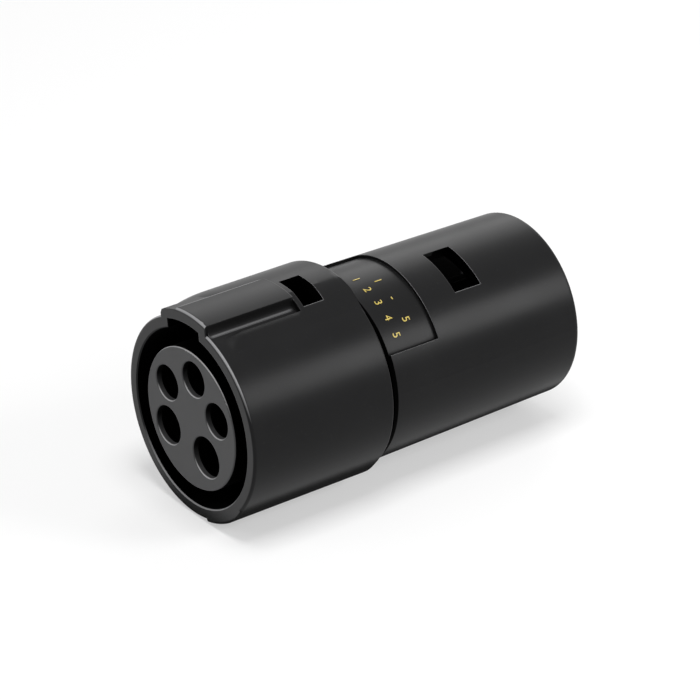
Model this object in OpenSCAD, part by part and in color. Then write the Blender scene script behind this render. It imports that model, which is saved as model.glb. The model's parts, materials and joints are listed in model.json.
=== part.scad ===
// Round five-contact power adapter with a keyed front socket and a rear inlet.
// The part stands on its rear rim: +Z runs along the axis to the five-hole face, +Y to the key.

/* [Barrels] */
// Overall length from the rear rim to the front face
total_len = 100.5; // [96:0.5:110]
// Outside diameter of the front barrel
front_d = 51; // [50:0.5:56]
// Outside diameter of the rear barrel beside the joint
rear_joint_d = 48.6; // [48:0.2:50]
// Taper of the rear barrel's radius from the joint to the rim
rear_taper = 0.8; // [0.2:0.1:1.2]
// Wall of the rear barrel around the inlet and the joint's seat
rear_wall = 3; // [2.6:0.1:3.4]
// Height of the rear barrel's front end above its rim
joint_z = 58.7; // [56:0.1:60]
// Width of the joint between the two barrels
joint_gap = 0.8; // [0.6:0.1:1.4]
// Rounding of the front barrel's edge at the face
face_round = 0.8; // [0.4:0.1:1.4]
// Rounding of the front barrel's edge at the joint
joint_round = 0.5; // [0.2:0.1:1]
// Rounding of the rear rim
rim_round = 1.2; // [0.5:0.1:1.5]

/* [Front socket] */
// Wall of the front barrel around the socket
socket_wall = 3.05; // [2.75:0.05:3.3]
// Width of the ring groove between the socket's wall and the core
core_gap = 4.55; // [4.4:0.05:4.8]
// Thickness of the wall between the barrels
bulkhead_t = 3.5; // [3:0.5:5]
// Bevel of the socket's mouth
mouth_bevel = 0.3; // [0.1:0.1:0.6]
// Thickness of the flat seal on the socket's floor
floor_seal_t = 1.2; // [0.8:0.1:1.8]
// Inset of the joint seal from the rear barrel's surface
joint_seal_inset = 1.8; // [0.6:0.1:2.2]

/* [Key housing] */
// Width of the key housing
key_w = 18; // [17:0.5:20]
// Height of the key housing above the barrel
key_rise = 2.2; // [1.8:0.1:3]
// Length of the sharp-edged part of the key housing
key_len = 25.5; // [20:0.5:27]
// Width of the key slot
slot_w = 12.8; // [11:0.2:13.4]
// Distance from the key's centre to the crisp step on its top
key_step_x = 2.6; // [1:0.2:5]
// Drop of the crisp step on the key's top
key_step = 0.3; // [0.2:0.05:0.4]
// Size of the soft edge on the key's low side
key_edge = 1.6; // [1:0.1:2]
// Depth of the key slot beyond the socket's wall
slot_rise = 2.35; // [1.8:0.05:2.6]
// Distance from the socket's floor to the slot's floor
slot_floor = 3; // [2:0.5:6]
// Radius of the hollow at the key housing's foot
key_fillet = 1.8; // [1:0.1:2.4]
// Step from the key's top down to the crown around it
crown_step = 0.12; // [0.08:0.02:0.3]
// Angle where the crown behind the key leaves the barrel
crown_from = 50; // [46:1:54]
// Angle where the crown reaches its full height
crown_full = 82; // [78:1:84]
// Angle by which the crown sits turned towards the key's shoulder
crown_turn = 8; // [5:0.5:10]
// Rounding of the crown's edge at the joint
crown_round = 1; // [0.5:0.1:1.2]
// Angle of the groove's far wall between the key and the shoulder
groove_a = 63; // [61:0.5:64]
// Length of the crown's shoulders beside the key
shoulder_len = 23; // [18:0.5:24]
// Length over which the far shoulder runs down towards the face
shoulder_run = 12; // [8:0.5:14]

/* [Openings in the barrels] */
// Angle of the front window
front_window_a = 75.8; // [70:0.2:84]
// Width of the front window
front_window_w = 10.1; // [8:0.1:11]
// Length of the front window
front_window_len = 5.9; // [5:0.1:6.6]
// Distance from the joint to the front window
front_window_gap = 8.3; // [7.5:0.1:8.6]
// Angle of the rear window
rear_window_a = 62; // [56:1:68]
// Width of the rear window
rear_window_w = 13.6; // [11:0.1:15]
// Length of the rear window
rear_window_len = 8; // [6:0.1:9]
// Height of the rear window above the rim
rear_window_z = 24.9; // [20:0.1:27]

/* [Label field and foot pad] */
// Length of the sunk label field beside the joint
label_len = 16; // [12:0.1:18]
// Depth of the label field
label_depth = 0.8; // [0.3:0.1:1]
// Angle at which the label field starts
label_from = 23.5; // [18:0.5:30]
// Angle that the label field spans
label_span = 90; // [80:1:120]
// Height of the foot pad above the barrel
pad_rise = 0.7; // [0.4:0.1:1.2]
// Angle of the pad's sharp side
pad_from = -82.5; // [-88:0.5:-78]
// Angle where the pad starts to fade
pad_full = -64; // [-70:0.5:-60]
// Angle where the pad has faded into the barrel
pad_to = -46; // [-52:0.5:-40]

/* [Rear inlet] */
// Depth of the rear inlet
inlet_depth = 38; // [36:0.5:40]
// Thickness of the rear insulator
insulator_t = 8; // [6:0.5:9]
// Thickness of the flat seal in the inlet
inlet_seal_t = 1.2; // [0.8:0.1:2]
// Width of the flat seal in the inlet
inlet_seal_w = 3.4; // [2:0.1:3.6]

/* [Contacts] */
// Diameter of the circle that the contacts stand on
contact_ring_d = 22.2; // [21.8:0.1:22.6]
// Diameter of the circle that the earth contact stands on
earth_ring_d = 19.6; // [19:0.1:20.6]
// Angle of the line contact
line_a = 205.5; // [203:0.5:208]
// Angle of the neutral contact
neutral_a = 14.6; // [12:0.1:17]
// Angle of the earth contact
earth_a = -58.8; // [-62:0.1:-56]
// Angle of the first signal contact
signal_a_a = 143.7; // [141:0.1:146]
// Angle of the second signal contact
signal_b_a = 77.5; // [75:0.1:80]
// Diameter of the line and neutral pins
power_pin_d = 3.6; // [3:0.1:4]
// Diameter of the earth pin
earth_pin_d = 2.8; // [2.4:0.1:3.6]
// Diameter of the signal pins
signal_pin_d = 1.5; // [1.3:0.1:2]
// Outside diameter of the power and earth sleeves
power_sleeve_d = 6.4; // [6:0.1:6.6]
// Outside diameter of the signal sleeves
signal_sleeve_d = 4.6; // [4.2:0.1:5]
// Distance from the rear rim to the pins' tips
pin_recess = 7; // [4:0.5:12]
// Distance from the front face to the sleeves' mouths
sleeve_recess = 7; // [6:0.5:10]
// Depth of the sleeves' front bores
sleeve_bore = 24; // [20:0.5:26]
// Width of the spring slit across each sleeve
slit_w = 0.4; // [0.2:0.1:0.5]
// Length of the spring slit
slit_len = 10; // [6:0.5:14]
// Length of the stud that joins each pin to its sleeve
stud_len = 9; // [6:0.5:10]
// Thickness of the pins' collars
collar_t = 3; // [2:0.5:4]
// Width of the collars' and flanges' ledges
ledge_w = 0.8; // [0.6:0.1:1]
// Thickness of the sleeves' flanges
flange_t = 2; // [1.5:0.5:3]
// Step from each pin out to its shank in the insulator
shank_step = 0.4; // [0.3:0.1:0.6]
// Bevel of the sleeves' mouths
sleeve_bevel = 0.4; // [0.2:0.1:0.6]
// Wall of each sleeve around the stud
stud_wall = 1.2; // [0.8:0.1:1.4]
// Thickness of the spring bands
band_t = 0.3; // [0.2:0.1:0.5]
// Height of the spring bands
band_h = 2; // [1:0.5:3]
// Distance from the sleeves' mouths to their spring bands
band_drop = 6; // [4:0.5:8]

/* [Holes in the core] */
// Diameter of the neutral and signal holes at the face
hole_d = 9.7; // [9:0.1:10]
// Diameter of the line hole at the face
line_hole_d = 10.6; // [9.8:0.1:10.8]
// Diameter of the earth hole at the face
earth_hole_d = 11.2; // [10.2:0.1:11.4]
// Depth of the wide mouth of each hole
hole_mouth = 3; // [2:0.5:5]
// Rounding of each hole's rim
hole_round = 0.4; // [0.2:0.1:0.8]
// Step from each hole's mouth in to its shaft
hole_step = 0.5; // [0.3:0.1:0.6]
// Depth of the wide part of each hole
hole_depth = 20; // [18:0.5:24]
// Rounding of the core's edge at the face
core_round = 0.4; // [0.2:0.1:0.8]

/* [Clamp screws and plate] */
// Thickness of the retainer plate
plate_t = 3.5; // [2:0.5:4]
// Diameter of the clamp screws
screw_d = 2.8; // [2.4:0.1:3]
// Diameter of the screws' heads
screw_head_d = 5.2; // [4.8:0.1:5.4]
// Height of the screws' heads
screw_head_h = 2.4; // [2:0.1:2.8]
// Depth that the screws reach into the core
screw_bite = 9; // [6:0.5:12]
// Diameter of the circle that the screws stand on
screw_ring_d = 26.6; // [26.2:0.1:27]
// Depth of the screws' heads below the insulator's face
screw_sink = 0.3; // [0.1:0.1:0.6]
// Angle of the first screw
screw_a = 46; // [44:0.2:48]
// Angle of the second screw
screw_b = 174.6; // [173:0.2:176]
// Angle of the third screw
screw_c = 253.4; // [250:0.2:256]

/* [Coding resistor] */
// Diameter of the coding resistor
resistor_d = 2.6; // [2:0.1:3]
// Length of the coding resistor
resistor_len = 6.5; // [5:0.5:8]
// Diameter of its leads
lead_d = 0.8; // [0.6:0.1:1]
// Width of the solder rings at the leads' ends
ring_w = 0.9; // [0.6:0.1:1.2]
// Thickness of the solder rings
ring_t = 0.6; // [0.4:0.1:1]
// Height of the solder rings above the collars
ring_rise = 2.2; // [1.8:0.1:3]

/* [Clearances] */
// Radial clearance between the spigot, the insulator and the rear barrel
spigot_clear = 0.1; // [0.05:0.05:0.2]
// Radial clearance round sleeves and pins in their plates
contact_clear = 0.1; // [0.05:0.05:0.2]
// Radial clearance between a pin and a sleeve's bore
bore_clear = 0.03; // [0.02:0.01:0.05]
// Radial clearance round the screws
screw_clear = 0.2; // [0.1:0.05:0.3]
// Radial clearance of the seals and the plate
seal_clear = 0.15; // [0.05:0.05:0.3]

/* [Hidden] */
$fn = 96;

cut = 1;
sink = 0.1;
rim_inset = 0.6;
spigot_wall = 2.6;
core_foot_round = 0.3;
joint_bevel = 0.3;
tip_share = 0.49;
screw_angles = [screw_a, screw_b, screw_c];
front_r = front_d / 2;
key_r = front_r + key_rise;
crown_r = key_r - crown_step;
socket_r = front_r - socket_wall;
core_r = socket_r - core_gap;
solid_r = socket_r - socket_wall;
slot_r = socket_r + slot_rise;
front_z = joint_z + joint_gap;
floor_z = front_z + bulkhead_t;
key_z = total_len - key_len;
insulator_z = inlet_depth;
chamber_z = insulator_z + insulator_t;
seat_r = rear_joint_d / 2 - rear_wall;
inlet_r = seat_r - rear_taper;
rim_r = rear_joint_d / 2 - rear_taper;
spigot_r = seat_r - spigot_clear;
chamber_r = spigot_r - spigot_wall;
plate_z = front_z - plate_t;
sleeve_z = chamber_z + collar_t;
sleeve_top = total_len - sleeve_recess;
ring_z = sleeve_z + ring_rise;
band_z = sleeve_top - band_drop;

// Each contact: place, pin diameter, sleeve diameter, diameter of its hole at the face
line = [polar(contact_ring_d / 2, line_a), power_pin_d, power_sleeve_d, line_hole_d];
neutral = [polar(contact_ring_d / 2, neutral_a), power_pin_d, power_sleeve_d, hole_d];
earth = [polar(earth_ring_d / 2, earth_a), earth_pin_d, power_sleeve_d, earth_hole_d];
signal_a = [polar(contact_ring_d / 2, signal_a_a), signal_pin_d, signal_sleeve_d, hole_d];
signal_b = [polar(contact_ring_d / 2, signal_b_a), signal_pin_d, signal_sleeve_d, hole_d];
contacts = [line, neutral, earth, signal_a, signal_b];

function polar(r, a) = [r * cos(a), r * sin(a)];
function arc_points(r, from, to, steps) =
    [for (i = [0:steps]) polar(r, from + (to - from) * i / steps)];
function ease(t) = t <= 0 ? 0 : t >= 1 ? 1 : t * t * (3 - 2 * t);
function lift(a, from, full) = ease((a - from) / (full - from));
function rear_r(z) = rim_r + rear_taper * z / joint_z;

// Half section of a turned body whose two outer corners are rounded
module turned_section(r_in, r_out, z_low, z_high, round_low, round_high) {
    translate([r_in, z_low + round_low])
        square([r_out - r_in, z_high - z_low - round_low - round_high]);
    if (round_low > 0) {
        translate([r_in, z_low]) square([r_out - r_in - round_low, 2 * round_low]);
        translate([r_out - round_low, z_low + round_low]) circle(round_low);
    }
    if (round_high > 0) {
        translate([r_in, z_high - 2 * round_high])
            square([r_out - r_in - round_high, 2 * round_high]);
        translate([r_out - round_high, z_high - round_high]) circle(round_high);
    }
}

module tube(r_in, r_out, z_low, z_high) {
    translate([0, 0, z_low]) difference() {
        cylinder(r = r_out, h = z_high - z_low);
        translate([0, 0, -cut]) cylinder(r = r_in, h = z_high - z_low + 2 * cut);
    }
}

module rod(r, z_low, z_high) {
    translate([0, 0, z_low]) cylinder(r = r, h = z_high - z_low);
}

// Box cut that enters the barrel along a bearing and stops inside it
module window_cut(bearing, width, z_low, len, r_from) {
    rotate([0, 0, bearing]) translate([r_from, -width / 2, z_low])
        cube([key_r + cut - r_from, width, len]);
}

// Key housing seen from the face: flat walls, a low left shoulder and a crisp right edge
module key_outline() {
    half = key_w / 2;
    foot = solid_r;
    top = sqrt(key_r * key_r - key_step_x * key_step_x);
    side = sqrt(key_r * key_r - half * half);
    polygon([
        [half, foot], [half, key_r], [-key_step_x, key_r], [-key_step_x, top],
        [-key_step_x - key_step / 2, top - key_step], [-half + key_edge, side],
        [-half + key_edge / 3, side - key_edge / 3], [-half, side - key_edge], [-half, foot]
    ]);
}

// Smooth swelling of the barrel behind the key: flanks that ease up to the crown's height
module crown_outline(from, to) {
    steps = 64;
    centre = 90 + crown_turn;
    swell = key_rise + 3 * sink;
    angles = [for (i = [0:steps]) from + (to - from) * i / steps];
    outer = [for (a = angles) polar(
        front_r - sink + swell * lift(90 - abs(a - centre), crown_from - crown_turn,
            crown_full - crown_turn), a)];
    inner = arc_points(socket_r + rim_inset, to, from, 24);
    polygon(concat(outer, inner));
}

module key_housing() {
    intersection() {
        rotate_extrude()
            turned_section(solid_r, key_r, front_z + joint_round, total_len, 0, face_round);
        translate([0, 0, key_z]) linear_extrude(key_len + cut) key_outline();
    }
}

module crown() {
    last = 180 - crown_from + 2 * crown_turn;
    intersection() {
        rotate_extrude() turned_section(solid_r, crown_r, front_z, key_z, crown_round, 0);
        translate([0, 0, front_z - cut]) linear_extrude(key_z - front_z + 2 * cut)
            crown_outline(crown_from, last);
    }
    shoulder(shoulder_run, 90 + asin(key_step_x / key_r), last);
    shoulder(shoulder_len, crown_from, groove_a);
}

// One side of the crown carried on beside the key, arching down over its last run to the barrel
module shoulder(run, from, to) {
    drop = crown_r - front_r + 2 * sink;
    arch_r = (run * run + drop * drop) / (2 * drop);
    run_z = key_z + shoulder_len - run;
    arch_facets = 360;
    intersection() {
        rotate_extrude() intersection() {
            translate([socket_r, key_z - sink]) square([key_r, shoulder_len + sink]);
            union() {
                translate([socket_r, key_z - sink]) square([crown_r - socket_r, run_z - key_z + sink]);
                translate([crown_r - arch_r, run_z]) circle(arch_r, $fn = arch_facets);
            }
        }
        translate([0, 0, key_z - cut]) linear_extrude(shoulder_len + 2 * cut)
            crown_outline(from, to);
    }
}

// Hollow fillet where a side of the key housing meets the barrel
module key_foot(side) {
    centre_x = key_w / 2 + key_fillet;
    reach = front_r + key_fillet;
    centre = [centre_x, sqrt(reach * reach - centre_x * centre_x)];
    deep = 3 * sink;
    landing = centre * (front_r - deep) / reach;
    inset = key_w / 2 - 5 * sink;
    mirror([side < 0 ? 1 : 0, 0, 0]) translate([0, 0, key_z])
        linear_extrude(key_len - face_round) difference() {
            polygon([centre, [inset, centre[1]], [inset, landing[1] - deep], landing]);
            translate(centre) circle(key_fillet - sink * 0.4);
        }
}

module foot_pad() {
    steps = 28;
    angles = [for (i = [0:steps]) pad_from + (pad_to - pad_from) * i / steps];
    outer = [for (a = angles) polar(front_r - sink + (pad_rise + sink) * lift(a, pad_to, pad_full), a)];
    inner = arc_points(socket_r + rim_inset, pad_to, pad_from, 12);
    intersection() {
        rotate_extrude() turned_section(
            socket_r, front_r + pad_rise, front_z, total_len, joint_round, face_round);
        translate([0, 0, front_z]) linear_extrude(total_len - front_z)
            polygon(concat(outer, inner));
    }
}

module front_shell() {
    color([0.07, 0.07, 0.075]) difference() {
        union() {
            rotate_extrude() turned_section(0, front_r, front_z, total_len, joint_round, face_round);
            key_housing();
            key_foot(1);
            key_foot(-1);
            crown();
            foot_pad();
            rod(spigot_r, chamber_z, front_z + cut);
        }
        rod(socket_r, floor_z, total_len + cut);
        translate([0, 0, total_len - mouth_bevel])
            cylinder(r1 = socket_r, r2 = socket_r + mouth_bevel + cut, h = mouth_bevel + cut);
        intersection() {
            rod(slot_r, floor_z + slot_floor, total_len + cut);
            translate([-slot_w / 2, 0, floor_z]) cube([slot_w, key_r, total_len]);
        }
        rod(chamber_r, chamber_z - cut, front_z);
        for (c = contacts) translate(c[0]) rod(c[2] / 2 + contact_clear, front_z - cut, floor_z + cut);
        screw_holes(front_z - cut, floor_z + cut);
        window_cut(
            front_window_a, front_window_w, front_z + front_window_gap,
            front_window_len, (core_r + socket_r) / 2);
    }
}

module screw_holes(z_low, z_high) {
    for (a = screw_angles) translate(polar(screw_ring_d / 2, a))
        rod(screw_d / 2 + screw_clear, z_low, z_high);
}

// One stepped hole: rounded rim, wide mouth, shaft and the close lower part that holds the sleeve
module core_hole(mouth_d, sleeve_d) {
    mouth_r = mouth_d / 2;
    shaft_r = max(mouth_r - hole_step - hole_round, sleeve_d / 2 + band_t + contact_clear);
    translate([0, 0, total_len - hole_mouth]) cylinder(r = mouth_r - hole_round, h = hole_mouth + cut);
    rod(shaft_r, total_len - hole_depth, total_len);
    rod(sleeve_d / 2 + contact_clear, floor_z - cut, total_len);
    translate([0, 0, total_len - hole_round]) rotate_extrude() difference() {
        square([mouth_r, hole_round + cut]);
        translate([mouth_r, 0]) circle(hole_round);
    }
}

module front_core() {
    color([0.14, 0.14, 0.15]) difference() {
        rotate_extrude() turned_section(0, core_r, floor_z, total_len, core_foot_round, core_round);
        for (c = contacts) translate(c[0]) core_hole(c[3], c[2]);
        for (a = screw_angles) translate(polar(screw_ring_d / 2, a))
            rod(screw_d / 2, floor_z - cut, floor_z + screw_bite + cut);
    }
}

module floor_seal() {
    color([0.04, 0.04, 0.04])
        tube(core_r + seal_clear, socket_r - seal_clear, floor_z, floor_z + floor_seal_t);
}

module joint_seal() {
    color([0.03, 0.03, 0.03])
        tube(spigot_r + seal_clear, rear_joint_d / 2 - joint_seal_inset, joint_z, front_z);
}

module rear_shell() {
    edge = joint_bevel;
    color([0.07, 0.07, 0.075]) difference() {
        rotate_extrude() {
            polygon([
                [inlet_r, rim_round], [rim_r, rim_round], [rear_r(joint_z - edge), joint_z - edge],
                [rear_r(joint_z) - edge, joint_z], [seat_r, joint_z], [seat_r, insulator_z],
                [inlet_r, insulator_z]
            ]);
            translate([inlet_r, 0]) square([rim_r - rim_round - inlet_r, 2 * rim_round]);
            translate([rim_r - rim_round, rim_round]) circle(rim_round);
        }
        label_recess();
        window_cut(rear_window_a, rear_window_w, rear_window_z, rear_window_len, inlet_r / 2);
    }
}

module label_recess() {
    label_z = joint_z - label_len;
    rotate([0, 0, label_from]) rotate_extrude(angle = label_span) polygon([
        [rear_r(label_z) - label_depth, label_z], [rear_r(label_z) + cut, label_z],
        [rear_r(joint_z) + cut, joint_z + cut], [rear_r(joint_z) - label_depth, joint_z + cut]
    ]);
}

module rear_insulator() {
    head_r = screw_head_d / 2 + screw_clear;
    head_depth = screw_sink + screw_head_h;
    color([0.12, 0.12, 0.13]) difference() {
        rod(seat_r - spigot_clear, insulator_z, chamber_z);
        for (c = contacts) translate(c[0])
            rod(c[1] / 2 + shank_step + contact_clear, insulator_z - cut, chamber_z + cut);
        screw_holes(insulator_z - cut, chamber_z + cut);
        for (a = screw_angles) translate(polar(screw_ring_d / 2, a))
            rod(head_r, insulator_z - cut, insulator_z + head_depth);
    }
}

module inlet_seal() {
    outer = inlet_r - seal_clear;
    color([0.04, 0.04, 0.04])
        tube(outer - inlet_seal_w, outer, insulator_z - inlet_seal_t, insulator_z);
}

module retainer_plate() {
    color([0.2, 0.2, 0.21]) difference() {
        rod(chamber_r - seal_clear, plate_z, front_z);
        for (c = contacts) translate(c[0]) rod(c[2] / 2 + contact_clear, plate_z - cut, front_z + cut);
        screw_holes(plate_z - cut, front_z + cut);
    }
}

module clamp_screws() {
    head_z = insulator_z + screw_sink;
    head_top = head_z + screw_head_h;
    cross_w = 0.7;
    slot_half = screw_head_d * 0.36;
    slot_depth = screw_head_h / 2;
    color([0.7, 0.71, 0.73]) for (a = screw_angles) translate(polar(screw_ring_d / 2, a)) difference() {
        union() {
            rod(screw_head_d / 2, head_z, head_top);
            rod(screw_d / 2, head_top, floor_z + screw_bite);
        }
        for (turn = [0, 90]) rotate([0, 0, turn + 45])
            translate([-slot_half, -cross_w / 2, head_z - cut])
                cube([2 * slot_half, cross_w, cut + slot_depth]);
    }
}

// Socket sleeve: blind front bore with a spring slit, clamping flange and a rear bore for the stud
module sleeve(c) {
    r = c[2] / 2;
    bore_r = c[1] / 2 + bore_clear;
    bore_z = sleeve_top - sleeve_bore;
    translate(c[0]) difference() {
        union() {
            rod(r, sleeve_z, sleeve_top);
            rod(r + ledge_w, plate_z - flange_t, plate_z);
        }
        rod(bore_r, bore_z, sleeve_top + cut);
        rod(stud_r(c) + bore_clear, sleeve_z - cut, sleeve_z + stud_len);
        translate([0, 0, sleeve_top - sleeve_bevel])
            cylinder(r1 = bore_r, r2 = bore_r + sleeve_bevel + cut, h = sleeve_bevel + cut);
        translate([-r - cut, -slit_w / 2, sleeve_top - slit_len])
            cube([2 * (r + cut), slit_w, slit_len + cut]);
    }
}

function stud_r(c) = c[2] / 2 - stud_wall;

// Inlet pin: domed tip, collar that seats on the insulator and a stud for the sleeve
module inlet_pin(c) {
    r = c[1] / 2;
    translate(c[0]) {
        rotate_extrude() turned_section(0, r, pin_recess, insulator_z, r * tip_share, 0);
        rod(r + shank_step, insulator_z, chamber_z);
        rod(c[2] / 2 + ledge_w, chamber_z, sleeve_z);
        rod(stud_r(c), sleeve_z, sleeve_z + stud_len);
    }
}

module band(c) {
    translate(c[0]) tube(c[2] / 2, c[2] / 2 + band_t, band_z - band_h, band_z);
}

module sleeve_line() { color([0.8, 0.81, 0.83]) sleeve(line); }
module sleeve_neutral() { color([0.8, 0.81, 0.83]) sleeve(neutral); }
module sleeve_earth() { color([0.8, 0.81, 0.83]) sleeve(earth); }
module sleeve_signal_a() { color([0.8, 0.81, 0.83]) sleeve(signal_a); }
module sleeve_signal_b() { color([0.8, 0.81, 0.83]) sleeve(signal_b); }

module pin_line() { color([0.82, 0.83, 0.85]) inlet_pin(line); }
module pin_neutral() { color([0.82, 0.83, 0.85]) inlet_pin(neutral); }
module pin_earth() { color([0.82, 0.83, 0.85]) inlet_pin(earth); }
module pin_signal_a() { color([0.82, 0.83, 0.85]) inlet_pin(signal_a); }
module pin_signal_b() { color([0.82, 0.83, 0.85]) inlet_pin(signal_b); }

module power_bands() {
    color([0.6, 0.6, 0.62]) {
        band(line);
        band(neutral);
    }
}

module earth_band() { color([0.6, 0.6, 0.62]) band(earth); }

module signal_bands() {
    color([0.6, 0.6, 0.62]) {
        band(signal_a);
        band(signal_b);
    }
}

// The resistor lies between the earth sleeve and the second signal sleeve
module resistor_run(r, from, to) {
    start = earth[0];
    along = signal_b[0] - start;
    translate([start[0], start[1], ring_z + ring_t / 2])
        rotate([0, 90, atan2(along[1], along[0])])
            translate([0, 0, from]) cylinder(r = r, h = to - from);
}

module resistor_body() {
    gap = norm(signal_b[0] - earth[0]);
    color([0.75, 0.65, 0.45])
        resistor_run(resistor_d / 2, (gap - resistor_len) / 2, (gap + resistor_len) / 2);
}

module resistor_leads() {
    gap = norm(signal_b[0] - earth[0]);
    earth_reach = earth[2] / 2 + ring_w / 2;
    signal_reach = signal_b[2] / 2 + ring_w / 2;
    color([0.75, 0.75, 0.76]) {
        translate(earth[0]) tube(earth[2] / 2, earth[2] / 2 + ring_w, ring_z, ring_z + ring_t);
        translate(signal_b[0])
            tube(signal_b[2] / 2, signal_b[2] / 2 + ring_w, ring_z, ring_z + ring_t);
        resistor_run(lead_d / 2, earth_reach, (gap - resistor_len) / 2);
        resistor_run(lead_d / 2, (gap + resistor_len) / 2, gap - signal_reach);
    }
}

front_shell();
front_core();
floor_seal();
joint_seal();
rear_shell();
rear_insulator();
inlet_seal();
retainer_plate();
clamp_screws();
sleeve_line();
sleeve_neutral();
sleeve_earth();
sleeve_signal_a();
sleeve_signal_b();
pin_line();
pin_neutral();
pin_earth();
pin_signal_a();
pin_signal_b();
power_bands();
earth_band();
signal_bands();
resistor_body();
resistor_leads();
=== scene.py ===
import json
import math
import bmesh
import bpy
from mathutils import Matrix, Quaternion, Vector


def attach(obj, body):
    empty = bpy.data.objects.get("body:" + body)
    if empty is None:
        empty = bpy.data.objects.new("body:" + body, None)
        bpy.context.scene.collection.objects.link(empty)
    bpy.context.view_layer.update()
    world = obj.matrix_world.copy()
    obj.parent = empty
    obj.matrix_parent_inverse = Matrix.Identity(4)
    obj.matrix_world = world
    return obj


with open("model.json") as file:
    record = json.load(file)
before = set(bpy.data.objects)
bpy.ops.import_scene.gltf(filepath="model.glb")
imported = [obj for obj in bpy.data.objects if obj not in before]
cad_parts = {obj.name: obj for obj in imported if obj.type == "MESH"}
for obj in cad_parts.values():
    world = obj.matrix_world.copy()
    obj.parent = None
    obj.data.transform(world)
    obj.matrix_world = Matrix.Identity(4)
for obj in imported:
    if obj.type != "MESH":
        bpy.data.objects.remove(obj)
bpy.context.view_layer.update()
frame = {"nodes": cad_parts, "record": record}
nodes = frame["nodes"]
mm = 0.001
farOff = 200.0  # mm, past every surface of the adapter
print("frame loaded:", len(nodes), "nodes")

# a bearing runs round the barrels' axis, from +X towards the key. The adapter lies on its side
# in the picture, and this bearing points straight up from the floor.
lyingSet = {"bearing": 84.2, "middle": 50.25}  # degrees, and mm above the rear rim
floorBearing = math.radians(lyingSet["bearing"])
floorUp = Vector((math.cos(floorBearing), math.sin(floorBearing), 0))
midAxis = Vector((0, 0, lyingSet["middle"])) * mm

cameraSet = {
    "azimuth": 27.593,  # degrees, as a bearing
    "elevation": 32.598,  # degrees above the rear rim's plane
    "roll": -109.568,  # degrees
    "distance": 865.31,  # mm from the aim point
    "aim": (-2.007, 2.068, 51.533),  # mm
    "lens": 182.96, "film": 36,  # mm
}


def placeCamera(settings):
    azimuth = math.radians(settings["azimuth"])
    elevation = math.radians(settings["elevation"])
    away = Vector((
        math.cos(elevation) * math.cos(azimuth),
        math.cos(elevation) * math.sin(azimuth),
        math.sin(elevation),
    ))
    data = bpy.data.cameras.new("photoCamera")
    data.lens = settings["lens"]
    data.sensor_width = settings["film"]
    data.clip_start = 0.01
    camera = bpy.data.objects.new("photoCamera", data)
    bpy.context.scene.collection.objects.link(camera)
    roll = Quaternion((0, 0, 1), math.radians(settings["roll"]))
    camera.rotation_mode = "QUATERNION"
    camera.rotation_quaternion = away.to_track_quat("Z", "Y") @ roll
    camera.location = (Vector(settings["aim"]) + away * settings["distance"]) * mm
    bpy.context.scene.camera = camera
    return away


towardCamera = placeCamera(cameraSet)
flatToward = (towardCamera - floorUp * towardCamera.dot(floorUp)).normalized()
flatRight = floorUp.cross(flatToward)
print("camera placed")


def newMaterial(name):
    material = bpy.data.materials.new(name)
    material.use_nodes = True
    tree = material.node_tree
    shader = tree.nodes["Principled BSDF"]
    return material, tree, shader


def addNode(tree, kind, settings=None, values=None):
    made = tree.nodes.new(kind)
    for key, value in (settings or {}).items():
        setattr(made, key, value)
    for key, value in (values or {}).items():
        made.inputs[key].default_value = value
    return made


def join(tree, source, output, target, socket):
    tree.links.new(source.outputs[output], target.inputs[socket])


mixFactor, mixFirst, mixSecond, mixOut = 0, 6, 7, 2  # a Mix node's colour sockets


def mixTone(tree, first=None, second=None):
    made = addNode(tree, "ShaderNodeMix", {"data_type": "RGBA"})
    if first:
        made.inputs[mixFirst].default_value = first
    if second:
        made.inputs[mixSecond].default_value = second
    return made


def newGroup(name, inputs, outputs):
    tree = bpy.data.node_groups.new(name, "ShaderNodeTree")
    for label, kind, value in inputs:
        socket = tree.interface.new_socket(label, in_out="INPUT", socket_type=kind)
        if value is not None:
            socket.default_value = value
    for label, kind in outputs:
        tree.interface.new_socket(label, in_out="OUTPUT", socket_type=kind)
    return tree, tree.nodes.new("NodeGroupInput"), tree.nodes.new("NodeGroupOutput")


def useGroup(tree, group, values):
    made = tree.nodes.new("ShaderNodeGroup")
    made.node_tree = group
    for key, value in values.items():
        made.inputs[key].default_value = value
    return made


def buildGrain():  # fine spark-eroded mould grain: a height, and a slow drift for gloss and colour
    tree, inlet, outlet = newGroup(
        "mouldGrain",
        [("Scale", "NodeSocketFloat", 3200.0), ("Drift Scale", "NodeSocketFloat", 60.0)],
        [("Height", "NodeSocketFloat"), ("Drift", "NodeSocketFloat")],
    )
    place = addNode(tree, "ShaderNodeTexCoord")
    fine = addNode(tree, "ShaderNodeTexNoise", values={"Detail": 2.0, "Roughness": 0.6})
    pits = addNode(tree, "ShaderNodeTexVoronoi", {"feature": "SMOOTH_F1"}, {"Smoothness": 0.6})
    blend = addNode(tree, "ShaderNodeMath", {"operation": "MULTIPLY_ADD"}, {1: 0.55})
    slow = addNode(tree, "ShaderNodeTexNoise", values={"Detail": 3.0, "Roughness": 0.55})
    join(tree, place, "Object", fine, "Vector")
    join(tree, place, "Object", pits, "Vector")
    join(tree, place, "Object", slow, "Vector")
    join(tree, inlet, "Scale", fine, "Scale")
    join(tree, inlet, "Scale", pits, "Scale")
    join(tree, inlet, "Drift Scale", slow, "Scale")
    join(tree, pits, "Distance", blend, 0)
    join(tree, fine, "Fac", blend, 2)
    join(tree, blend, 0, outlet, "Height")
    join(tree, slow, "Fac", outlet, "Drift")
    return tree


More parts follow.
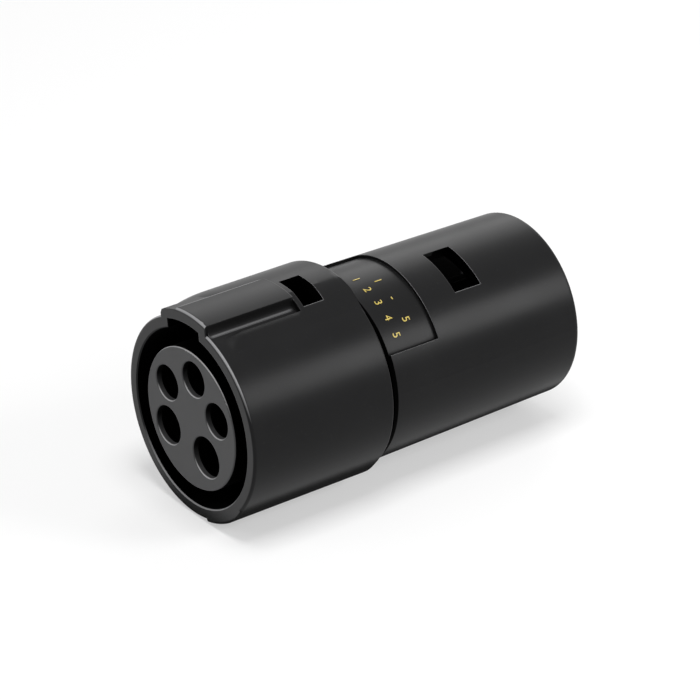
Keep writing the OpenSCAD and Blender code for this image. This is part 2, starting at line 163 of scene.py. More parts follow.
edgeSet = {
    "upShare": 0.8, "frontShare": 0.6,  # the way to the light: up from the floor and to the face
    "turnFrom": 0.45, "turnTo": 0.9, "least": 0.1,  # how far an edge turns that way to shine
}
calmZones = (  # no edge light in the groove beside the key
    {"from": 54, "to": 69, "low": 75.0, "high": 98.8},
)


def buildEdge():  # 1 on convex and hollow edges within the radius, 0 on open faces; partly wear, partly painted highlight, strongest on edges that turn towards the lamps
    tree, inlet, outlet = newGroup(
        "edgeWearAndHighlight",
        [("Radius", "NodeSocketFloat", 0.0003), ("Gain", "NodeSocketFloat", 3.0),
         ("Break Up", "NodeSocketFloat", 400.0)],
        [("Mask", "NodeSocketFloat")],
    )
    soft = addNode(tree, "ShaderNodeBevel", {"samples": 8})
    shape = addNode(tree, "ShaderNodeNewGeometry")
    turn = addNode(tree, "ShaderNodeVectorMath", {"operation": "DOT_PRODUCT"})
    bend = addNode(tree, "ShaderNodeMath", {"operation": "SUBTRACT", "use_clamp": True}, {0: 1.0})
    gain = addNode(tree, "ShaderNodeMath", {"operation": "MULTIPLY", "use_clamp": True})
    light = floorUp * edgeSet["upShare"] + Vector((0, 0, edgeSet["frontShare"]))
    lift = addNode(tree, "ShaderNodeVectorMath", {"operation": "DOT_PRODUCT"}, {1: tuple(light)})
    upward = addNode(tree, "ShaderNodeMapRange", values={
        "From Min": edgeSet["turnFrom"], "From Max": edgeSet["turnTo"],
        "To Min": edgeSet["least"], "To Max": 1.0})
    place = addNode(tree, "ShaderNodeTexCoord")
    patchy = addNode(tree, "ShaderNodeTexNoise", values={"Detail": 2.0})
    spread = addNode(tree, "ShaderNodeMapRange", values={
        "From Min": 0.3, "From Max": 0.65, "To Min": 0.7, "To Max": 1.0})
    wornAndLitEdge = addNode(tree, "ShaderNodeMath", {"operation": "MULTIPLY", "use_clamp": True})
    caught = addNode(tree, "ShaderNodeMath", {"operation": "MULTIPLY", "use_clamp": True})
    bare = addNode(tree, "ShaderNodeMath", {"operation": "SUBTRACT", "use_clamp": True}, {0: 1.0})
    parts, _, bearing = roundPlace(tree)
    join(tree, zoneMask(tree, parts, bearing, calmZones), 0, bare, 1)
    join(tree, inlet, "Radius", soft, "Radius")
    join(tree, soft, "Normal", turn, 0)
    join(tree, shape, "Normal", turn, 1)
    join(tree, turn, "Value", bend, 1)
    join(tree, bend, 0, gain, 0)
    join(tree, inlet, "Gain", gain, 1)
    join(tree, place, "Object", patchy, "Vector")
    join(tree, inlet, "Break Up", patchy, "Scale")
    join(tree, patchy, "Fac", spread, "Value")
    join(tree, gain, 0, wornAndLitEdge, 0)
    join(tree, spread, "Result", wornAndLitEdge, 1)
    join(tree, soft, "Normal", lift, 0)
    join(tree, lift, "Value", upward, "Value")
    join(tree, wornAndLitEdge, 0, caught, 0)
    join(tree, upward, "Result", caught, 1)
    join(tree, combine(tree, "MULTIPLY", caught, bare), 0, outlet, "Mask")
    return tree


def buildDust():  # sparse pale specks
    tree, inlet, outlet = newGroup(
        "fineDust",
        [("Scale", "NodeSocketFloat", 900.0), ("Amount", "NodeSocketFloat", 0.3)],
        [("Mask", "NodeSocketFloat")],
    )
    place = addNode(tree, "ShaderNodeTexCoord")
    specks = addNode(tree, "ShaderNodeTexNoise", values={"Detail": 1.0})
    keep = addNode(tree, "ShaderNodeMapRange", values={"From Min": 0.68, "From Max": 0.8})
    amount = addNode(tree, "ShaderNodeMath", {"operation": "MULTIPLY", "use_clamp": True})
    join(tree, place, "Object", specks, "Vector")
    join(tree, inlet, "Scale", specks, "Scale")
    join(tree, specks, "Fac", keep, "Value")
    join(tree, keep, "Result", amount, 0)
    join(tree, inlet, "Amount", amount, 1)
    join(tree, amount, 0, outlet, "Mask")
    return tree


def buildHollow():  # 1 on open faces, down to 0 deep inside slots, holes and windows
    tree, inlet, outlet = newGroup(
        "hollowShade",
        [("Reach", "NodeSocketFloat", 0.012), ("Closed", "NodeSocketFloat", 0.15),
         ("Open", "NodeSocketFloat", 0.7)],
        [("Mask", "NodeSocketFloat")],
    )
    near = addNode(tree, "ShaderNodeAmbientOcclusion", {"samples": 12})
    span = addNode(tree, "ShaderNodeMapRange", {"interpolation_type": "SMOOTHSTEP"})
    join(tree, inlet, "Reach", near, "Distance")
    join(tree, near, "AO", span, "Value")
    join(tree, inlet, "Closed", span, "From Min")
    join(tree, inlet, "Open", span, "From Max")
    join(tree, span, "Result", outlet, "Mask")
    return tree


def spanMask(tree, source, output, low, high, fade):  # 1 between low and high, soft over the fade
    rise = addNode(tree, "ShaderNodeMapRange", {"interpolation_type": "SMOOTHSTEP"}, {
        "From Min": low - fade, "From Max": low})
    fall = addNode(tree, "ShaderNodeMapRange", {"interpolation_type": "SMOOTHSTEP"}, {
        "From Min": high, "From Max": high + fade, "To Min": 1.0, "To Max": 0.0})
    both = addNode(tree, "ShaderNodeMath", {"operation": "MULTIPLY", "use_clamp": True})
    join(tree, source, output, rise, "Value")
    join(tree, source, output, fall, "Value")
    join(tree, rise, "Result", both, 0)
    join(tree, fall, "Result", both, 1)
    return both


def combine(tree, operation, first, second):
    made = addNode(tree, "ShaderNodeMath", {"operation": operation, "use_clamp": True})
    join(tree, first, 0, made, 0)
    join(tree, second, 0, made, 1)
    return made


def roundPlace(tree):  # the point's height, distance from the barrels' axis and bearing
    place = addNode(tree, "ShaderNodeTexCoord")
    parts = addNode(tree, "ShaderNodeSeparateXYZ")
    flat = addNode(tree, "ShaderNodeVectorMath", {"operation": "MULTIPLY"}, {1: (1, 1, 0)})
    radius = addNode(tree, "ShaderNodeVectorMath", {"operation": "LENGTH"})
    bearing = addNode(tree, "ShaderNodeMath", {"operation": "ARCTAN2"})
    join(tree, place, "Object", parts, "Vector")
    join(tree, place, "Object", flat, 0)
    join(tree, flat, "Vector", radius, 0)
    join(tree, parts, "Y", bearing, 0)
    join(tree, parts, "X", bearing, 1)
    return parts, radius, bearing


zoneFade = {"bearing": 2.0, "height": 0.8}  # degrees and mm


def zoneMask(tree, parts, bearing, zones):  # 1 inside any of the zones, soft at their limits
    widest = None
    for zone in zones:
        start, end, fade = (
            math.radians(angle) for angle in (zone["from"], zone["to"], zoneFade["bearing"]))
        across = spanMask(tree, bearing, 0, start, end, fade)
        along = spanMask(
            tree, parts, "Z", zone["low"] * mm, zone["high"] * mm, zoneFade["height"] * mm)
        both = combine(tree, "MULTIPLY", across, along)
        widest = both if widest is None else combine(tree, "MAXIMUM", widest, both)
    return widest


rimSet = {  # mm, and degrees round the axis
    "frontFrom": 99.5, "frontFade": 0.2,
    "turnFrom": 0.32, "turnTo": 0.6,  # how far a rounded edge turns up before it shines
    "groove": (66.8, 67.2), "grooveFade": 1.0, "grooveShare": 0.42,  # the painted highlight line at the key's foot
    "step": (-2.85, -2.45), "stepFade": 0.08,  # the painted highlight line along the step on the key's top
    "lines": (77.0, 98.6), "linesFade": 1.5,  # both lines' ends
}


def buildRims():  # painted light on the flat front faces, and painted highlight on the rounded edges there that turn up from the floor
    tree, _, outlet = newGroup(
        "rimCatch", [], [("Face", "NodeSocketFloat"), ("Rim", "NodeSocketFloat")])
    parts, _, bearing = roundPlace(tree)
    shape = addNode(tree, "ShaderNodeNewGeometry")
    tilt = addNode(tree, "ShaderNodeSeparateXYZ")
    lift = addNode(tree, "ShaderNodeVectorMath", {"operation": "DOT_PRODUCT"}, {1: tuple(floorUp)})
    upward = addNode(tree, "ShaderNodeMapRange", values={
        "From Min": rimSet["turnFrom"], "From Max": rimSet["turnTo"]})
    join(tree, shape, "Normal", tilt, "Vector")
    join(tree, shape, "Normal", lift, 0)
    join(tree, lift, "Value", upward, "Value")
    front = spanMask(
        tree, parts, "Z", rimSet["frontFrom"] * mm, farOff * mm, rimSet["frontFade"] * mm)
    bent = spanMask(tree, tilt, "Z", 0.4, 0.8, 0.25)  # a normal's height runs from -1 to 1
    level = spanMask(tree, tilt, "Z", 0.985, 2.0, 0.08)
    face = combine(tree, "MULTIPLY", front, level)
    rim = combine(tree, "MULTIPLY", combine(tree, "MULTIPLY", front, bent), upward)
    # painted highlights: light caught in the groove beside the key, and along the step on the key's
    # top
    grooveSpan = (math.radians(angle) for angle in (*rimSet["groove"], rimSet["grooveFade"]))
    stepSpan = (place * mm for place in (*rimSet["step"], rimSet["stepFade"]))
    lineSpan = (place * mm for place in (*rimSet["lines"], rimSet["linesFade"]))
    groove = spanMask(tree, bearing, 0, *grooveSpan)
    step = spanMask(tree, parts, "X", *stepSpan)
    top = spanMask(tree, parts, "Y", 0.0, farOff * mm, mm)
    along = spanMask(tree, parts, "Z", *lineSpan)
    soft = addNode(tree, "ShaderNodeMath", {"operation": "MULTIPLY", "use_clamp": True}, {
        1: rimSet["grooveShare"]})
    join(tree, groove, 0, soft, 0)
    lines = combine(tree, "MAXIMUM", soft, combine(tree, "MULTIPLY", step, top))
    glint = combine(tree, "MULTIPLY", lines, along)
    join(tree, face, 0, outlet, "Face")
    join(tree, combine(tree, "MAXIMUM", rim, glint), 0, outlet, "Rim")
    return tree


depthSet = {  # mm, and degrees round the axis
    "crisp": 0.02, "line": 0.08, "soft": 0.12,  # how wide the masks' limits are
    "socketTop": 100.12, "socketRadius": 22.5, "slotHalf": 6.43, "slotRadius": 24.83,
    "jointLow": 57.8, "jointTop": 59.55,
    "widen": 0.5, "widest": 40, "plain": 68,  # the joint's painted shade line is wider on the near side
    "inlet": (2.5, 57.0), "inletFade": 1.5, "inletRadius": 22.5,
    "flank": (69.2, 70.6), "flankFade": 1.2, "flankLength": (75.6, 100.0), "flankShade": 0.5,
    "coreRadius": 17.8, "coreFoot": 62.9, "coreSideTop": 100.2, "shaftTop": 98.9, "rimWidth": 0.6,
}
pocketZones = (  # the two windows' walls, painted in shade
    {"from": 60, "to": 91, "low": 67.5, "high": 74.0},
    {"from": 42, "to": 82, "low": 20.6, "high": 29.3},
)


def buildDepths():  # painted shade: 1 in the openings and the joint, and for the core on its own sides and shafts
    tree, _, outlet = newGroup(
        "deepShade", [], [("Socket", "NodeSocketFloat"), ("Core", "NodeSocketFloat")])
    parts, radius, bearing = roundPlace(tree)
    shape = addNode(tree, "ShaderNodeNewGeometry")
    tilt = addNode(tree, "ShaderNodeSeparateXYZ")
    lift = addNode(tree, "ShaderNodeVectorMath", {"operation": "DOT_PRODUCT"}, {1: tuple(floorUp)})
    join(tree, shape, "Normal", tilt, "Vector")
    join(tree, shape, "Normal", lift, 0)

    def within(source, output, low, high, fade):
        return spanMask(tree, source, output, low * mm, high * mm, fade * mm)

    def both(first, second):
        return combine(tree, "MULTIPLY", first, second)

    def either(first, second):
        return combine(tree, "MAXIMUM", first, second)

    crisp, line, soft = depthSet["crisp"], depthSet["line"], depthSet["soft"]
    half = depthSet["slotHalf"]
    front = within(parts, "Z", depthSet["jointTop"], depthSet["socketTop"], soft)
    bore = within(radius, "Value", -farOff, depthSet["socketRadius"], crisp)
    above = within(parts, "Y", 0.0, farOff, 1.0)
    reach = within(radius, "Value", -farOff, depthSet["slotRadius"], crisp)
    slot = both(both(within(parts, "X", -half, half, crisp), above), reach)
    flat = addNode(tree, "ShaderNodeVectorMath", {"operation": "MULTIPLY"}, {1: (1, 1, 0)})
    outward = addNode(tree, "ShaderNodeVectorMath", {"operation": "NORMALIZE"})
    facing = addNode(tree, "ShaderNodeVectorMath", {"operation": "DOT_PRODUCT"})
    place = addNode(tree, "ShaderNodeTexCoord")
    join(tree, place, "Object", flat, 0)
    join(tree, flat, "Vector", outward, 0)
    join(tree, outward, "Vector", facing, 0)
    join(tree, shape, "Normal", facing, 1)
    steep = spanMask(tree, facing, "Value", -1.1, 0.5, 0.15)  # walls don't face outward
    pocket = both(zoneMask(tree, parts, bearing, pocketZones), steep)
    rear = both(
        within(parts, "Z", *depthSet["inlet"], depthSet["inletFade"]),
        within(radius, "Value", -farOff, depthSet["inletRadius"], soft))
    widen = addNode(tree, "ShaderNodeMapRange", values={
        "From Min": math.radians(depthSet["widest"]), "From Max": math.radians(depthSet["plain"]),
        "To Min": depthSet["widen"] * mm, "To Max": 0.0})
    moved = addNode(tree, "ShaderNodeMath", {"operation": "ADD"})
    join(tree, bearing, 0, widen, "Value")
    join(tree, parts, "Z", moved, 0)
    join(tree, widen, "Result", moved, 1)
    joint = both(
        within(moved, 0, depthSet["jointLow"], farOff, line),
        within(parts, "Z", -farOff, depthSet["jointTop"], line))
    # the key's flank stands in its own shade
    flankSpan = (math.radians(angle) for angle in (*depthSet["flank"], depthSet["flankFade"]))
    flank = both(
        spanMask(tree, bearing, 0, *flankSpan),
        within(parts, "Z", *depthSet["flankLength"], 0.3))
    shade = addNode(tree, "ShaderNodeMath", {"operation": "MULTIPLY"}, {1: depthSet["flankShade"]})
    join(tree, flank, 0, shade, 0)
    inner = either(both(either(bore, slot), front), either(pocket, rear))
    join(tree, either(either(inner, joint), shade), 0, outlet, "Socket")

    # painted shade on the core: its side in the ring slot, its shafts, and the hole mouths where
    # they turn down
    foot = depthSet["coreFoot"]
    side = within(radius, "Value", depthSet["coreRadius"], farOff, 0.05)
    below = within(parts, "Z", foot, depthSet["coreSideTop"], 0.1)
    shafts = within(parts, "Z", foot, depthSet["shaftTop"], 0.25)
    wall = spanMask(tree, tilt, "Z", -0.4, 0.4, 0.2)
    turned = addNode(tree, "ShaderNodeMapRange", values={
        "From Min": -0.2, "From Max": 0.85, "To Min": 0.95, "To Max": 0.0})
    join(tree, lift, "Value", turned, "Value")
    holeReach = depthSet["coreRadius"] - depthSet["rimWidth"]
    mouths = both(
        both(wall, within(radius, "Value", -farOff, holeReach, 0.1)),
        within(parts, "Z", foot, farOff, 0.1))
    shadow = addNode(tree, "ShaderNodeMath", {"operation": "MULTIPLY", "use_clamp": True})
    join(tree, mouths, 0, shadow, 0)
    join(tree, turned, "Result", shadow, 1)
    join(tree, either(either(both(side, below), shafts), shadow), 0, outlet, "Core")
    return tree


softReach = 2.0  # mm
softZones = (  # degrees round the axis and mm above the rear rim
    {"from": 70, "to": 79, "low": 61.0, "high": 65.5},
    {"from": 50, "to": 64.5, "low": 76.0, "high": 97.0},
)


def buildSoftNormal():  # rounded edges, and a wide blend where the crown runs out into the barrel
    tree, inlet, outlet = newGroup(
        "softNormal", [("Radius", "NodeSocketFloat", 0.0003)], [("Normal", "NodeSocketVector")])
    parts, _, bearing = roundPlace(tree)
    widest = zoneMask(tree, parts, bearing, softZones)
    reach = addNode(tree, "ShaderNodeMath", {"operation": "MULTIPLY_ADD"}, {1: softReach * mm})
    soft = addNode(tree, "ShaderNodeBevel", {"samples": 12})
    join(tree, widest, 0, reach, 0)
    join(tree, inlet, "Radius", reach, 2)
    join(tree, reach, 0, soft, "Radius")
    join(tree, soft, "Normal", outlet, "Normal")
    return tree


grainGroup = buildGrain()
edgeGroup = buildEdge()
rimGroup = buildRims()
depthGroup = buildDepths()
softGroup = buildSoftNormal()
dustGroup = buildDust()
hollowGroup = buildHollow()
print("shared effects built")

noiseSpan = (0.3, 0.7)  # most of a noise's values lie between these


def makePlastic(name, look):
    material, tree, shader = newMaterial(name)
    grain = useGroup(tree, grainGroup, {
        "Scale": look["grainScale"], "Drift Scale": look["driftScale"]})
    edge = useGroup(tree, edgeGroup, {"Radius": look["edgeRadius"] * mm, "Gain": look["edgeGain"]})
    dust = useGroup(tree, dustGroup, {"Scale": look["dustScale"], "Amount": look["dustAmount"]})
    tone = mixTone(tree, look["deep"], look["light"])
    # edges: partly worn, partly painted highlight on edges that face the lamps
    wornAndLitEdge = mixTone(tree, second=look["edgeTone"])
    dusty = mixTone(tree, second=look["dustTone"])
    hollow = useGroup(tree, hollowGroup, {
        "Reach": look["hollowReach"] * mm,
        "Closed": look["hollowClosed"], "Open": look["hollowOpen"]})
    # painted shade deep in slots, holes and windows
    shaded = mixTone(tree, look["hollowTone"])
    gloss = addNode(tree, "ShaderNodeMapRange", values={
        "From Min": noiseSpan[0], "From Max": noiseSpan[1],
        "To Min": look["roughLow"], "To Max": look["roughHigh"]})
    dulled = addNode(tree, "ShaderNodeMix", {"data_type": "FLOAT"}, {"A": 1.0})
    softer = useGroup(tree, softGroup, {"Radius": look["softEdge"] * mm})
    rims = useGroup(tree, rimGroup, {})
    depths = useGroup(tree, depthGroup, {})
    # painted light on flat front faces, painted highlights on their rims and along the key
    facing = mixTone(tree, second=look["litFaceTone"])
    catching = mixTone(tree, second=look["rimGlintTone"])
    # painted shade: the openings, the joint and the key's flank turn near black
    sunk = mixTone(tree, second=look["hollowTone"])
    rough = addNode(tree, "ShaderNodeMix", {"data_type": "FLOAT"}, {"B": 1.0})
    bump = addNode(tree, "ShaderNodeBump", values={
        "Strength": look["grainStrength"], "Distance": look["grainDepth"] * mm})
    join(tree, grain, "Drift", tone, mixFactor)
    join(tree, tone, mixOut, wornAndLitEdge, mixFirst)
    join(tree, edge, "Mask", wornAndLitEdge, mixFactor)
    join(tree, wornAndLitEdge, mixOut, dusty, mixFirst)
    join(tree, dust, "Mask", dusty, mixFactor)
    join(tree, dusty, mixOut, facing, mixFirst)
    join(tree, rims, "Face", facing, mixFactor)
    join(tree, facing, mixOut, catching, mixFirst)
    join(tree, rims, "Rim", catching, mixFactor)
    join(tree, catching, mixOut, shaded, mixSecond)
    join(tree, hollow, "Mask", shaded, mixFactor)
    join(tree, shaded, mixOut, sunk, mixFirst)
    join(tree, depths, look["depth"], sunk, mixFactor)
    join(tree, sunk, mixOut, shader, "Base Color")
    join(tree, grain, "Drift", gloss, "Value")
    join(tree, gloss, "Result", dulled, "B")
    join(tree, hollow, "Mask", dulled, "Factor")
    join(tree, dulled, "Result", rough, "A")
    join(tree, depths, look["depth"], rough, "Factor")
    join(tree, rough, "Result", shader, "Roughness")
    join(tree, depths, look["depth"], shader, "Metallic")
    join(tree, grain, "Height", bump, "Height")
    join(tree, softer, "Normal", bump, "Normal")
    join(tree, bump, "Normal", shader, "Normal")
    shader.inputs["Specular IOR Level"].default_value = look["specular"]
    return material


# deep and light: the plastic's own two tones; edgeTone: edge wear and painted edge highlight;
# face tone: painted light on flat front faces; rim tone: painted highlight on their rounded rims;
# depth: the painted-shade mask that blackens the openings
shellLook = {
    "deep": (0.006, 0.006, 0.0063, 1), "light": (0.009, 0.009, 0.0094, 1),
    "edgeTone": (0.3, 0.3, 0.305, 1), "dustTone": (0.1, 0.1, 0.1, 1),
    "litFaceTone": (0.041, 0.041, 0.0417, 1), "rimGlintTone": (0.28, 0.28, 0.286, 1), "depth": "Socket",
    "roughLow": 0.30, "roughHigh": 0.34, "specular": 0.1,
    "grainScale": 3400.0, "grainStrength": 0.10, "grainDepth": 0.05, "driftScale": 55.0,
    "edgeRadius": 0.35, "edgeGain": 3.0, "softEdge": 0.28,
    "dustScale": 1400.0, "dustAmount": 0.04,
    "hollowReach": 14.0, "hollowClosed": 0.5, "hollowOpen": 0.88,
    "hollowTone": (0.0004, 0.0004, 0.0004, 1),
}

coreLook = {
    "deep": (0.055, 0.055, 0.0563, 1), "light": (0.068, 0.068, 0.0696, 1),
    "edgeTone": (0.3, 0.3, 0.303, 1), "dustTone": (0.16, 0.16, 0.16, 1),
    "litFaceTone": (0.077, 0.077, 0.0786, 1), "rimGlintTone": (0.4, 0.4, 0.405, 1), "depth": "Core",
    "roughLow": 0.40, "roughHigh": 0.48, "specular": 0.1,
    "grainScale": 4200.0, "grainStrength": 0.10, "grainDepth": 0.04, "driftScale": 70.0,
    "edgeRadius": 0.3, "edgeGain": 3.2, "softEdge": 0.25,
    "dustScale": 1600.0, "dustAmount": 0.04,
    "hollowReach": 6.0, "hollowClosed": 0.0, "hollowOpen": 0.3,
    "hollowTone": (0.0006, 0.0006, 0.0006, 1),
}

sealLook = {
    "deep": (0.0012, 0.0012, 0.0012, 1), "light": (0.0025, 0.0025, 0.0025, 1),
    "edgeTone": (0.006, 0.006, 0.006, 1), "dustTone": (0.02, 0.02, 0.02, 1),
    "litFaceTone": (0.002, 0.002, 0.002, 1), "rimGlintTone": (0.002, 0.002, 0.002, 1), "depth": "Socket",
    "roughLow": 0.72, "roughHigh": 0.85, "specular": 0.06,
    "grainScale": 2200.0, "grainStrength": 0.3, "grainDepth": 0.06, "driftScale": 120.0,
    "edgeRadius": 0.2, "edgeGain": 2.0, "softEdge": 0.2,
    "dustScale": 900.0, "dustAmount": 0.1,
    "hollowReach": 8.0, "hollowClosed": 0.3, "hollowOpen": 0.9,
    "hollowTone": (0.0004, 0.0004, 0.0004, 1),
}

stainShare = {"grain": 6, "from": 0.32, "to": 0.58}  # finer grain, and where stain turns bright


def makeMetal(name, look):
    material, tree, shader = newMaterial(name)
    place = addNode(tree, "ShaderNodeTexCoord")
    stretch = addNode(tree, "ShaderNodeMapping", values={"Scale": look["streak"]})
    turned = addNode(tree, "ShaderNodeTexNoise", values={
        "Scale": look["streakScale"], "Detail": 3.0, "Roughness": 0.6})
    edge = useGroup(tree, edgeGroup, {"Radius": look["edgeRadius"] * mm, "Gain": look["edgeGain"]})
    grain = useGroup(tree, grainGroup, {
        "Scale": look["stainScale"] * stainShare["grain"], "Drift Scale": look["stainScale"]})
    tone = mixTone(tree, look["tarnish"], look["bright"])
    # edges: partly worn, partly painted highlight on edges that face the lamps
    wornAndLitEdge = mixTone(tree, second=look["edgeTone"])
    clean = addNode(tree, "ShaderNodeMapRange", values={
        "From Min": stainShare["from"], "From Max": stainShare["to"]})
    gloss = addNode(tree, "ShaderNodeMapRange", values={
        "From Min": noiseSpan[0], "From Max": noiseSpan[1],
        "To Min": look["roughLow"], "To Max": look["roughHigh"]})
    soft = addNode(tree, "ShaderNodeBevel", {"samples": 6}, {"Radius": look["softEdge"] * mm})
    bump = addNode(tree, "ShaderNodeBump", values={
        "Strength": look["bumpStrength"], "Distance": look["bumpDepth"] * mm})
    join(tree, place, "Object", stretch, "Vector")
    join(tree, stretch, "Vector", turned, "Vector")
    join(tree, grain, "Drift", clean, "Value")
    join(tree, clean, "Result", tone, mixFactor)
    join(tree, tone, mixOut, wornAndLitEdge, mixFirst)
    join(tree, edge, "Mask", wornAndLitEdge, mixFactor)
    join(tree, wornAndLitEdge, mixOut, shader, "Base Color")
    join(tree, turned, "Fac", gloss, "Value")
    join(tree, gloss, "Result", shader, "Roughness")
    join(tree, turned, "Fac", bump, "Height")
    join(tree, soft, "Normal", bump, "Normal")
    join(tree, bump, "Normal", shader, "Normal")
    shader.inputs["Metallic"].default_value = 1.0
    return material


contactLook = {
    "tarnish": (0.52, 0.49, 0.43, 1), "bright": (0.82, 0.81, 0.78, 1),
    "edgeTone": (0.9, 0.89, 0.86, 1),
    "streak": (1, 1, 14), "streakScale": 260.0, "stainScale": 220.0,
    "roughLow": 0.18, "roughHigh": 0.36, "bumpStrength": 0.12, "bumpDepth": 0.02,
    "edgeRadius": 0.12, "edgeGain": 2.5, "softEdge": 0.12,
}

screwLook = {
    "tarnish": (0.38, 0.38, 0.37, 1), "bright": (0.58, 0.59, 0.6, 1),
    "edgeTone": (0.75, 0.75, 0.76, 1),
    "streak": (1, 1, 9), "streakScale": 500.0, "stainScale": 320.0,
    "roughLow": 0.26, "roughHigh": 0.46, "bumpStrength": 0.2, "bumpDepth": 0.02,
    "edgeRadius": 0.15, "edgeGain": 3.0, "softEdge": 0.12,
}

springLook = {
    "tarnish": (0.3, 0.29, 0.27, 1), "bright": (0.5, 0.5, 0.49, 1),
    "edgeTone": (0.62, 0.62, 0.6, 1),
    "streak": (1, 1, 20), "streakScale": 300.0, "stainScale": 400.0,
    "roughLow": 0.3, "roughHigh": 0.5, "bumpStrength": 0.2, "bumpDepth": 0.015,
    "edgeRadius": 0.08, "edgeGain": 2.0, "softEdge": 0.08,
}

leadLook = {
    "tarnish": (0.55, 0.55, 0.54, 1), "bright": (0.75, 0.75, 0.74, 1),
    "edgeTone": (0.8, 0.8, 0.8, 1),
    "streak": (1, 1, 1), "streakScale": 900.0, "stainScale": 600.0,
    "roughLow": 0.22, "roughHigh": 0.42, "bumpStrength": 0.3, "bumpDepth": 0.02,
    "edgeRadius": 0.08, "edgeGain": 2.0, "softEdge": 0.08,
}

coatLook = {
    "deep": (0.44, 0.33, 0.06, 1), "light": (0.6, 0.47, 0.11, 1),
    "edgeTone": (0.6, 0.45, 0.18, 1), "dustTone": (0.3, 0.22, 0.1, 1),
    "litFaceTone": (0.6, 0.47, 0.11, 1), "rimGlintTone": (0.6, 0.47, 0.11, 1), "depth": "Socket",
    "roughLow": 0.3, "roughHigh": 0.4, "specular": 0.4,
    "hollowReach": 1.0, "hollowClosed": 0.0, "hollowOpen": 0.3,
    "hollowTone": (0.1, 0.07, 0.02, 1),
    "grainScale": 1800.0, "grainStrength": 0.12, "grainDepth": 0.04, "driftScale": 300.0,
    "edgeRadius": 0.12, "edgeGain": 1.5, "softEdge": 0.12,
    "dustScale": 900.0, "dustAmount": 0.15,
}

finishes = {
    "shell_plastic": makePlastic("shellPlastic", shellLook),
    "core_plastic": makePlastic("corePlastic", coreLook),
    "seal_rubber": makePlastic("sealRubber", sealLook),
    "contact_plate": makeMetal("contactPlate", contactLook),
    "screw_steel": makeMetal("screwSteel", screwLook),
    "spring_steel": makeMetal("springSteel", springLook),
    "lead_wire": makeMetal("leadWire", leadLook),
    "tan_lacquer": makePlastic("tanLacquer", coatLook),
}

slotOf = {row["node"]: row["material_slot"] for row in frame["record"]["subparts"]}
for name, piece in nodes.items():
    piece.data.materials.clear()
    piece.data.materials.append(finishes[slotOf[name]])
print("finishes placed on", len(nodes), "nodes")


def makePiece(name, shape):  # an object at the origin, from a finished bmesh
    mesh = bpy.data.meshes.new(name)
    shape.to_mesh(mesh)
    shape.free()
    piece = bpy.data.objects.new(name, mesh)
    bpy.context.scene.collection.objects.link(piece)
    return piece


sleeveSet = {  # mm
    "powerFrom": 17.0, "signalFrom": 9.0, "to": 38.0,
    "wall": 0.7, "round": 0.3, "sides": 40,
    "probe": 12.0,  # below this height the pins are bare shafts
}


def makeSleeves():  # black insulation on each pin's base, clear of the contact end
    shape = bmesh.new()
    for name in sorted(nodes):
        if not name.startswith("pin_"):
            continue
        points = [corner.co.copy() for corner in nodes[name].data.vertices]
        shaft = [point.xy for point in points if point.z < sleeveSet["probe"] * mm]
        middle = sum(shaft, Vector((0, 0))) / len(shaft)
        radius = max((point - middle).length for point in shaft) + sleeveSet["wall"] * mm
        kind = "signalFrom" if name.startswith("pin_signal") else "powerFrom"
        low, high = sleeveSet[kind] * mm, sleeveSet["to"] * mm
        made = bmesh.ops.create_cone(
            shape, cap_ends=True, segments=sleeveSet["sides"],
            radius1=radius, radius2=radius, depth=high - low,
            matrix=Matrix.Translation((middle.x, middle.y, (low + high) / 2)))
        rim = [edge for edge in {edge for corner in made["verts"] for edge in corner.link_edges}
               if all(abs(corner.co.z - low) < 1e-6 for corner in edge.verts)]
        rim.sort(key=lambda edge: tuple(edge.verts[0].co) + tuple(edge.verts[1].co))
        bmesh.ops.bevel(
            shape, geom=rim, offset=sleeveSet["round"] * mm,
            segments=3, profile=0.5, affect="EDGES")
    bmesh.ops.recalc_face_normals(shape, faces=shape.faces)
    piece = makePiece("pinSleeves", shape)
    piece.data.materials.append(finishes["shell_plastic"])
    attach(piece, "root")


makeSleeves()
print("pin sleeves made")

markSet = {  # mm
    "rows": (  # text, height on the axis, size and letter spacing
        ("1 - 5", 48.9, 3.0, 2.4),
        ("1 2 3 4 5", 53.3, 3.0, 1.75),
    ),
    "bearing": 56.0,  # degrees, middle of each row
    "lift": 0.03, "thickness": 0.03,  # above the field
    "jointHeight": 58.7, "jointRadius": 24.3, "rimRadius": 23.5,  # the rear barrel's taper
    "fieldDepth": 0.8,
}


def fieldRadius(height):  # mm from the barrels' axis to the label field
    share = height / markSet["jointHeight"]
    return markSet["rimRadius"] + (markSet["jointRadius"] - markSet["rimRadius"]) * share \
        - markSet["fieldDepth"]


